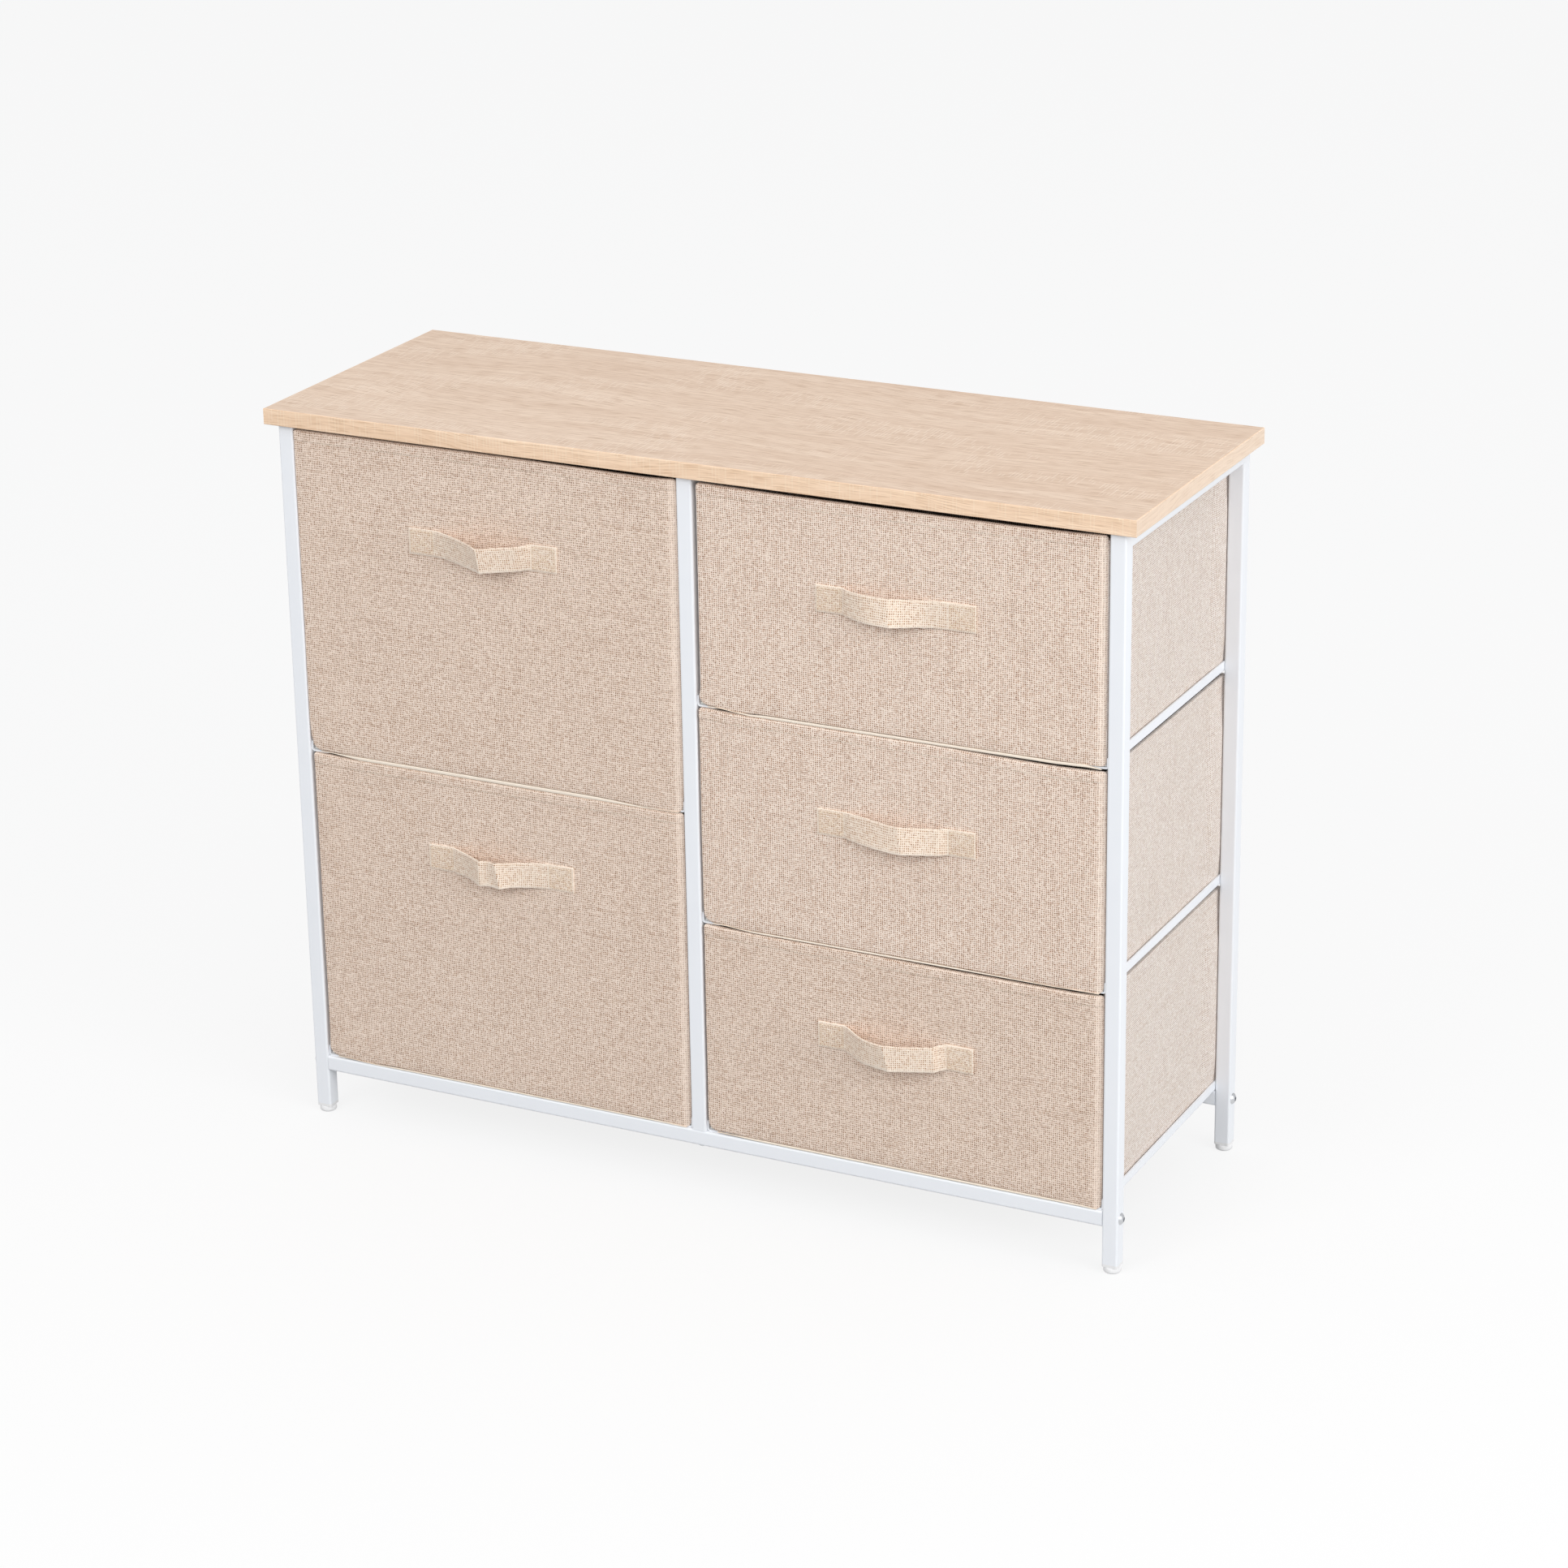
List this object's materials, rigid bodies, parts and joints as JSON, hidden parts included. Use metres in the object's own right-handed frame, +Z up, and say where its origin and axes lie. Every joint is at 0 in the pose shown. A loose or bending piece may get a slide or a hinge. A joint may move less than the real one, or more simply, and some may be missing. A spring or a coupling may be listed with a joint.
{
  "type": "fabric drawer dresser",
  "caption": "Wide low dresser with a white tube frame, a pale wood-effect top and fabric bin drawers that slide on angle runners, each with a webbing pull strap.",
  "frame": {"origin": "on the floor under the middle of the object's box, pull straps included", "axes": "+X to the right seen from the front, +Y to the back, +Z up"},
  "size_m": [0.85, 0.323, 0.7],
  "materials": {
    "frame_paint": "smooth white powder coat",
    "zinc": "bright zinc plate",
    "foot_plastic": "white moulded plastic",
    "top_laminate": "pale oak-effect laminate, satin",
    "drawer_fabric": "linen-look plain weave with slubs",
    "binding_fabric": "cream bound edge and floor cloth",
    "base_board": "raw fibreboard",
    "strap_webbing": "sewn cream webbing"
  },
  "bodies": {
    "frame": {"left_front_leg": "frame_paint", "left_rear_leg": "frame_paint", "left_top_rail": "frame_paint", "right_front_leg": "frame_paint", "right_rear_leg": "frame_paint", "right_top_rail": "frame_paint", "centre_front_post": "frame_paint", "centre_rear_post": "frame_paint", "centre_top_rail": "frame_paint", "front_cross_tube": "frame_paint", "rear_cross_tube": "frame_paint", "left_lower_runner": "frame_paint", "centre_left_lower_runner": "frame_paint", "left_upper_runner": "frame_paint", "centre_left_upper_runner": "frame_paint", "centre_right_lower_runner": "frame_paint", "right_lower_runner": "frame_paint", "centre_right_middle_runner": "frame_paint", "right_middle_runner": "frame_paint", "centre_right_upper_runner": "frame_paint", "right_upper_runner": "frame_paint", "frame_bolts": "zinc", "tube_end_nuts": "zinc", "post_bolts": "zinc", "post_end_nuts": "zinc", "top_screws": "zinc", "foot_inserts": "foot_plastic", "top_panel": "top_laminate", "edge_banding": "top_laminate"},
    "lower_left_drawer": {"lower_left_front_panel": "drawer_fabric", "lower_left_bin_walls": "drawer_fabric", "lower_left_fabric_floor": "binding_fabric", "lower_left_base_board": "base_board", "lower_left_pull_strap": "strap_webbing"},
    "upper_left_drawer": {"upper_left_front_panel": "drawer_fabric", "upper_left_bin_walls": "drawer_fabric", "upper_left_fabric_floor": "binding_fabric", "upper_left_base_board": "base_board", "upper_left_pull_strap": "strap_webbing"},
    "lower_right_drawer": {"lower_right_front_panel": "drawer_fabric", "lower_right_bin_walls": "drawer_fabric", "lower_right_fabric_floor": "binding_fabric", "lower_right_base_board": "base_board", "lower_right_pull_strap": "strap_webbing"},
    "middle_right_drawer": {"middle_right_front_panel": "drawer_fabric", "middle_right_bin_walls": "drawer_fabric", "middle_right_fabric_floor": "binding_fabric", "middle_right_base_board": "base_board", "middle_right_pull_strap": "strap_webbing"},
    "upper_right_drawer": {"upper_right_front_panel": "drawer_fabric", "upper_right_bin_walls": "drawer_fabric", "upper_right_fabric_floor": "binding_fabric", "upper_right_base_board": "base_board", "upper_right_pull_strap": "strap_webbing"},
    "left_front_levelling_foot": {"left_front_foot": "foot_plastic"},
    "left_rear_levelling_foot": {"left_rear_foot": "foot_plastic"},
    "right_front_levelling_foot": {"right_front_foot": "foot_plastic"},
    "right_rear_levelling_foot": {"right_rear_foot": "foot_plastic"}
  },
  "joints": [
    {"name": "lower_left_slide", "type": "slide", "parent": "frame", "child": "lower_left_drawer", "axis": [0, -1, 0], "range_m": [0, 0.21]},
    {"name": "upper_left_slide", "type": "slide", "parent": "frame", "child": "upper_left_drawer", "axis": [0, -1, 0], "range_m": [0, 0.21]},
    {"name": "lower_right_slide", "type": "slide", "parent": "frame", "child": "lower_right_drawer", "axis": [0, -1, 0], "range_m": [0, 0.21]},
    {"name": "middle_right_slide", "type": "slide", "parent": "frame", "child": "middle_right_drawer", "axis": [0, -1, 0], "range_m": [0, 0.21]},
    {"name": "upper_right_slide", "type": "slide", "parent": "frame", "child": "upper_right_drawer", "axis": [0, -1, 0], "range_m": [0, 0.21]},
    {"name": "left_front_foot_screw", "type": "slide", "parent": "frame", "child": "left_front_levelling_foot", "axis": [0, 0, -1], "range_m": [0, 0.008]},
    {"name": "left_rear_foot_screw", "type": "slide", "parent": "frame", "child": "left_rear_levelling_foot", "axis": [0, 0, -1], "range_m": [0, 0.008]},
    {"name": "right_front_foot_screw", "type": "slide", "parent": "frame", "child": "right_front_levelling_foot", "axis": [0, 0, -1], "range_m": [0, 0.008]},
    {"name": "right_rear_foot_screw", "type": "slide", "parent": "frame", "child": "right_rear_levelling_foot", "axis": [0, 0, -1], "range_m": [0, 0.008]}
  ]
}
